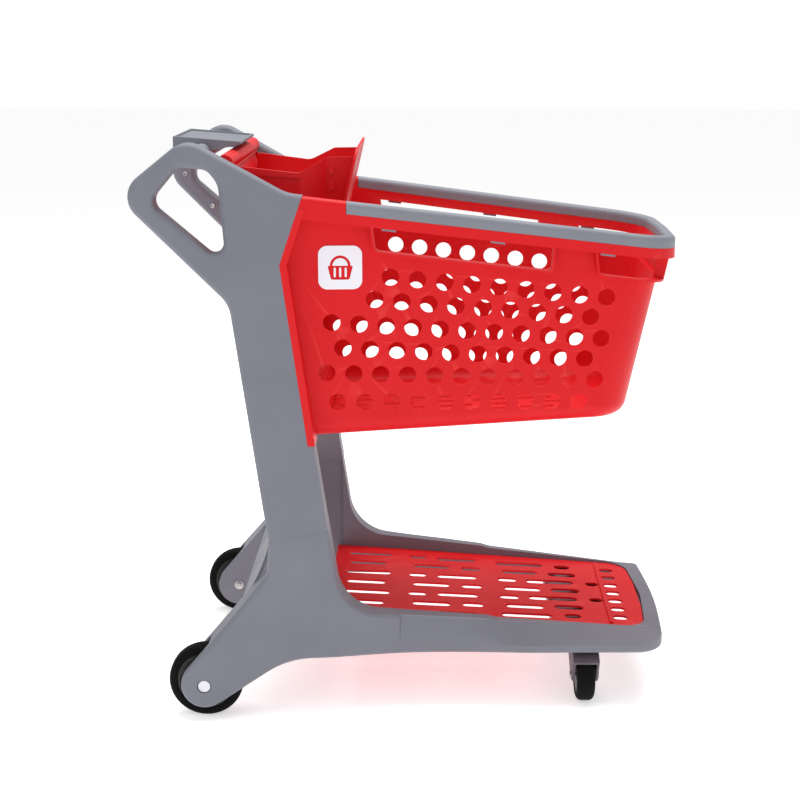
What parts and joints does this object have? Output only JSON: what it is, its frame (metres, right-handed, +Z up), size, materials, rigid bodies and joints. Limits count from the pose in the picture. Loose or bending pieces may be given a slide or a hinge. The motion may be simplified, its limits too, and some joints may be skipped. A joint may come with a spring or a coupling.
{
  "type": "shopping cart",
  "caption": "Compact nesting shopping cart with moulded side frames, perforated basket, child seat, lower tray, rear wheels and swivel casters.",
  "frame": {"origin": "on the floor, under the middle of the cart's bounding box", "axes": "+X forward (the way the cart is pushed), +Y to the cart's left, +Z up"},
  "size_m": [0.9003, 0.5804, 0.9718],
  "materials": {
    "grey_plastic": "moulded, fine texture",
    "red_plastic": "moulded, semi-gloss",
    "grey_bumper": "soft moulded edge, matt",
    "grey_tube": "sleeved tube, satin",
    "badge_white": "printed film, gloss",
    "zinc_steel": "zinc plated",
    "cap_white": "gloss",
    "black_plastic": "moulded, satin",
    "black_rubber": "matt",
    "fork_plastic": "moulded, satin"
  },
  "bodies": {
    "cart": {"axle_cap_left": "cap_white", "axle_cap_right": "cap_white", "axle_nut_left": "zinc_steel", "axle_nut_right": "zinc_steel", "badge_left": "badge_white", "badge_right": "badge_white", "base_frame": "grey_plastic", "basket": "red_plastic", "bumper_clips": "grey_bumper", "caster_beam": "grey_plastic", "caster_bush_left": "black_plastic", "caster_bush_right": "black_plastic", "deck_tray": "red_plastic", "gate_rod": "zinc_steel", "handle_bar": "grey_tube", "handle_tray": "grey_plastic", "joint_bolts_left": "zinc_steel", "joint_bolts_right": "zinc_steel", "loop_screws_left": "zinc_steel", "loop_screws_right": "zinc_steel", "rear_axle_left": "zinc_steel", "rear_axle_right": "zinc_steel", "rear_cross_panel": "grey_plastic", "rim_bumper": "grey_bumper", "upper_frame_left": "grey_plastic", "upper_frame_right": "grey_plastic"},
    "gate": {"gate_bar": "red_plastic", "gate_panel": "red_plastic", "child_seat": "red_plastic", "flap_brackets": "red_plastic", "flap_pin": "zinc_steel"},
    "seat_flap": {"seat_flap": "red_plastic"},
    "rear_wheel_left": {"rear_hub_left": "black_plastic", "rear_tyre_left": "black_rubber", "wheel_bush_left": "black_plastic"},
    "caster_left": {"caster_stem_left": "zinc_steel", "caster_fork_left": "fork_plastic", "caster_axle_left": "zinc_steel"},
    "caster_wheel_left": {"caster_hub_left": "black_plastic", "caster_tyre_left": "black_rubber"},
    "rear_wheel_right": {"rear_hub_right": "black_plastic", "rear_tyre_right": "black_rubber", "wheel_bush_right": "black_plastic"},
    "caster_right": {"caster_stem_right": "zinc_steel", "caster_fork_right": "fork_plastic", "caster_axle_right": "zinc_steel"},
    "caster_wheel_right": {"caster_hub_right": "black_plastic", "caster_tyre_right": "black_rubber"}
  },
  "joints": [
    {"name": "gate_swing", "type": "hinge", "parent": "cart", "child": "gate", "pos_m": [-0.29895, 0, 0.936], "axis": [0, -1, 0], "range_deg": [0, 40]},
    {"name": "seat_flap_fold", "type": "hinge", "parent": "gate", "child": "seat_flap", "pos_m": [-0.23567, 0, 0.79], "axis": [0, -1, 0], "range_deg": [0, 95]},
    {"name": "rear_wheel_spin_left", "type": "hinge", "parent": "cart", "child": "rear_wheel_left", "pos_m": [-0.34495, 0.25, 0.0635], "axis": [0, 1, 0], "continuous": true},
    {"name": "caster_swivel_left", "type": "hinge", "parent": "cart", "child": "caster_left", "pos_m": [0.30705, 0.142, 0.1], "axis": [0, 0, 1], "continuous": true},
    {"name": "caster_wheel_spin_left", "type": "hinge", "parent": "caster_left", "child": "caster_wheel_left", "pos_m": [0.3077, 0.17899, 0.044], "axis": [0.9998, -0.0175, 0], "continuous": true},
    {"name": "rear_wheel_spin_right", "type": "hinge", "parent": "cart", "child": "rear_wheel_right", "pos_m": [-0.34495, -0.25, 0.0635], "axis": [0, 1, 0], "continuous": true},
    {"name": "caster_swivel_right", "type": "hinge", "parent": "cart", "child": "caster_right", "pos_m": [0.30705, -0.142, 0.1], "axis": [0, 0, 1], "continuous": true},
    {"name": "caster_wheel_spin_right", "type": "hinge", "parent": "caster_right", "child": "caster_wheel_right", "pos_m": [0.3077, -0.17899, 0.044], "axis": [0.9998, 0.0175, 0], "continuous": true}
  ]
}
